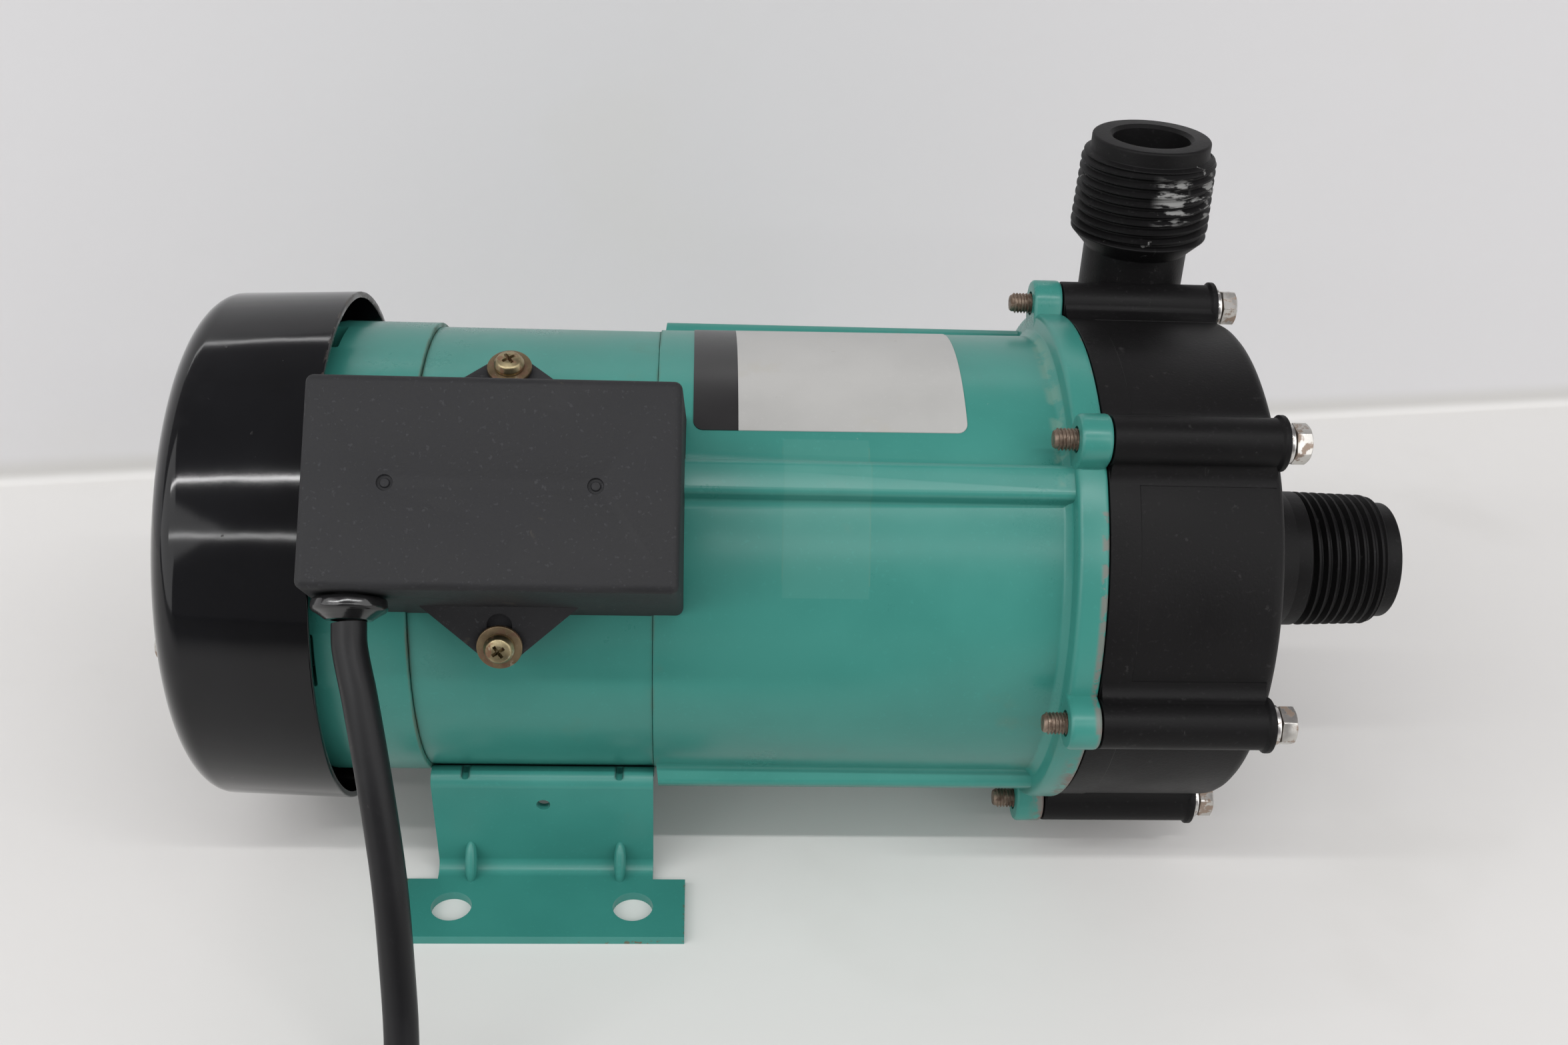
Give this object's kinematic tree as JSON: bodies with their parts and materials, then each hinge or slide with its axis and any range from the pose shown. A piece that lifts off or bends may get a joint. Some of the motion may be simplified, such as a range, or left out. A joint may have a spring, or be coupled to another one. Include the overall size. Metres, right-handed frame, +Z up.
{
  "type": "magnetic drive pump",
  "caption": "Magnetic drive pump: a motor with fan cover and terminal box on a bent sheet foot turns a sealed impeller in a casing with threaded suction and discharge nozzles.",
  "frame": {"origin": "on the surface the feet stand on, under the middle of the pump's outline without its cord", "axes": "+X along the shaft towards the suction nozzle, +Z up, -Y towards the terminal box and cord"},
  "size_m": [0.2972, 0.3169, 0.1701],
  "materials": {
    "green_paint": "satin enamel",
    "black_enamel": "gloss black enamel on sheet steel",
    "black_plastic": "glass-filled moulding, satin",
    "box_plastic": "matte moulding",
    "black_rubber": "smooth",
    "steel": "machined",
    "yellow_zinc": "yellow passivated zinc",
    "lamination": "stacked sheet",
    "copper": "varnished copper wire",
    "aluminium": "satin",
    "ferrite": "ground ferrite",
    "white_ceramic": "polished",
    "carbon": "filled bearing grade",
    "brass": "bright"
  },
  "bodies": {
    "pump_body": {"base_bracket": "green_paint", "stator_shell": "green_paint", "motor_end_bell": "green_paint", "pump_bracket": "green_paint", "base_screw_1": "steel", "base_screw_2": "steel", "stator_core": "lamination", "winding_rear": "copper", "winding_front": "copper", "rear_bearing": "steel", "front_bearing": "steel", "fan_cover": "black_enamel", "rear_casing": "black_plastic", "spindle": "white_ceramic", "thrust_ring": "white_ceramic", "mouth_ring": "carbon", "spindle_support": "black_plastic", "casing_seal_ring": "black_rubber", "front_casing": "black_plastic", "terminal_box": "box_plastic", "run_capacitor": "aluminium", "cord_bushing": "black_rubber", "power_cord": "black_rubber", "cord_coil": "black_rubber", "power_plug": "black_rubber", "plug_pin_1": "brass", "plug_pin_2": "brass", "cover_screw_1": "steel", "cover_screw_2": "steel", "cover_screw_3": "steel", "cover_screw_4": "steel", "casing_bolt_1": "steel", "lock_washer_1": "steel", "casing_bolt_2": "steel", "lock_washer_2": "steel", "casing_bolt_3": "steel", "lock_washer_3": "steel", "casing_bolt_4": "steel", "lock_washer_4": "steel", "casing_bolt_5": "steel", "lock_washer_5": "steel", "casing_bolt_6": "steel", "lock_washer_6": "steel", "box_screw_1": "yellow_zinc", "box_washer_1": "yellow_zinc", "box_screw_2": "yellow_zinc", "box_washer_2": "yellow_zinc"},
    "motor_rotor": {"motor_shaft": "steel", "rotor_core": "aluminium", "cooling_fan": "black_plastic", "drive_yoke": "steel", "drive_magnet": "ferrite", "drive_set_screw": "steel"},
    "driven_impeller": {"impeller": "black_plastic", "magnet_capsule": "black_plastic", "capsule_bush": "carbon"}
  },
  "joints": [
    {"name": "rotor_spin", "type": "hinge", "parent": "pump_body", "child": "motor_rotor", "pos_m": [0, 0.00399, 0.0733], "axis": [1, 0, 0], "continuous": true},
    {"name": "impeller_spin", "type": "hinge", "parent": "pump_body", "child": "driven_impeller", "pos_m": [0, 0.00399, 0.0733], "axis": [1, 0, 0], "continuous": true}
  ],
  "couplings": [
    {"joint": "impeller_spin", "follows": "rotor_spin", "ratio": 1}
  ]
}
